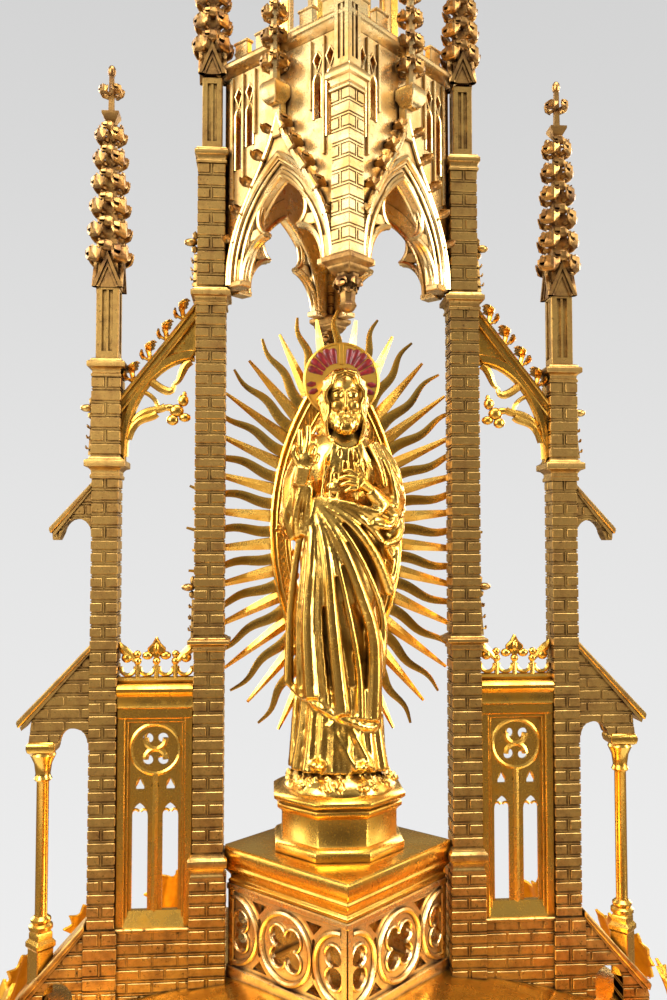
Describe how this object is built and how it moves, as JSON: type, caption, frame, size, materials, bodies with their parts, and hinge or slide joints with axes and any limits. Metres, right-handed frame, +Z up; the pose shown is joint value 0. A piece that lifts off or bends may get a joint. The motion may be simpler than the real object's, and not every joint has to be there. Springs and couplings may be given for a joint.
{
  "type": "monstrance",
  "caption": "Gothic tower monstrance in gilt brass with statue, rays, canopy, glazed sliding lunette, knop and lobed foot.",
  "frame": {"origin": "on the table, under the centre of the foot", "axes": "+Z up along the tower, front faces -Y, +X to the viewer's right"},
  "size_m": [0.2238, 0.2238, 0.8675],
  "materials": {
    "gilt_brass": "fire-gilt brass, polished",
    "pale_gilt": "pale gilt brass, worn bright",
    "dark_gilt": "gilt brass with dark patina",
    "statue_gilt": "polished cast gilt brass",
    "halo_gilt": "satin gilt brass",
    "leaf_gilt": "matt gilt sheet brass",
    "fastener_brass": "turned brass",
    "clear_glass": "polished flat glass"
  },
  "bodies": {
    "stand": {"foot_plate": "gilt_brass", "foot_gallery": "gilt_brass", "foot_bell": "pale_gilt", "lower_collar": "gilt_brass", "lower_stem": "gilt_brass", "knop": "pale_gilt", "knop_bosses": "gilt_brass", "upper_stem": "gilt_brass", "upper_collar": "gilt_brass", "tie_rod": "fastener_brass", "rod_washer": "fastener_brass", "rod_nut": "fastener_brass", "corbel": "pale_gilt", "platform": "gilt_brass", "storey_piers": "gilt_brass", "storey_nuts": "fastener_brass", "storey_arches": "pale_gilt", "luna_rail": "dark_gilt", "dome_roof": "gilt_brass", "roof_nuts": "fastener_brass", "leaf_crown": "leaf_gilt", "shrine_frieze": "pale_gilt", "shrine_top_plate": "gilt_brass", "socle": "gilt_brass", "statue": "statue_gilt", "statue_screw": "fastener_brass", "halo": "halo_gilt", "mandorla": "pale_gilt", "ray_glory": "gilt_brass", "inner_pier_left": "gilt_brass", "inner_pier_right": "gilt_brass", "outer_pier_left": "gilt_brass", "outer_pier_right": "gilt_brass", "window_left": "pale_gilt", "window_right": "pale_gilt", "cresting": "gilt_brass", "flyer_left": "gilt_brass", "flyer_right": "gilt_brass", "buttress_left": "gilt_brass", "buttress_right": "gilt_brass", "colonnettes": "pale_gilt", "end_piers": "gilt_brass", "canopy_walls": "pale_gilt", "ogee_hoods": "gilt_brass", "hanging_piers": "pale_gilt", "canopy_ceiling": "dark_gilt", "parapet": "gilt_brass", "lantern": "pale_gilt", "spire": "gilt_brass", "finial_knob": "pale_gilt", "cross": "pale_gilt"},
    "lunette": {"luna_foot": "gilt_brass", "luna_ring": "pale_gilt", "front_glass": "clear_glass", "glass_clip": "fastener_brass", "host_clip": "pale_gilt", "door_pin": "fastener_brass"},
    "door": {"door_ring": "pale_gilt", "door_glass": "clear_glass", "door_knob": "gilt_brass"}
  },
  "joints": [
    {"name": "luna_slide", "type": "slide", "parent": "stand", "child": "lunette", "axis": [0, 1, 0], "range_m": [0, 0.06]},
    {"name": "luna_door", "type": "hinge", "parent": "lunette", "child": "door", "pos_m": [-0.0445, 0.0087, 0.293], "axis": [0, 0, 1], "range_deg": [0, 110]}
  ]
}
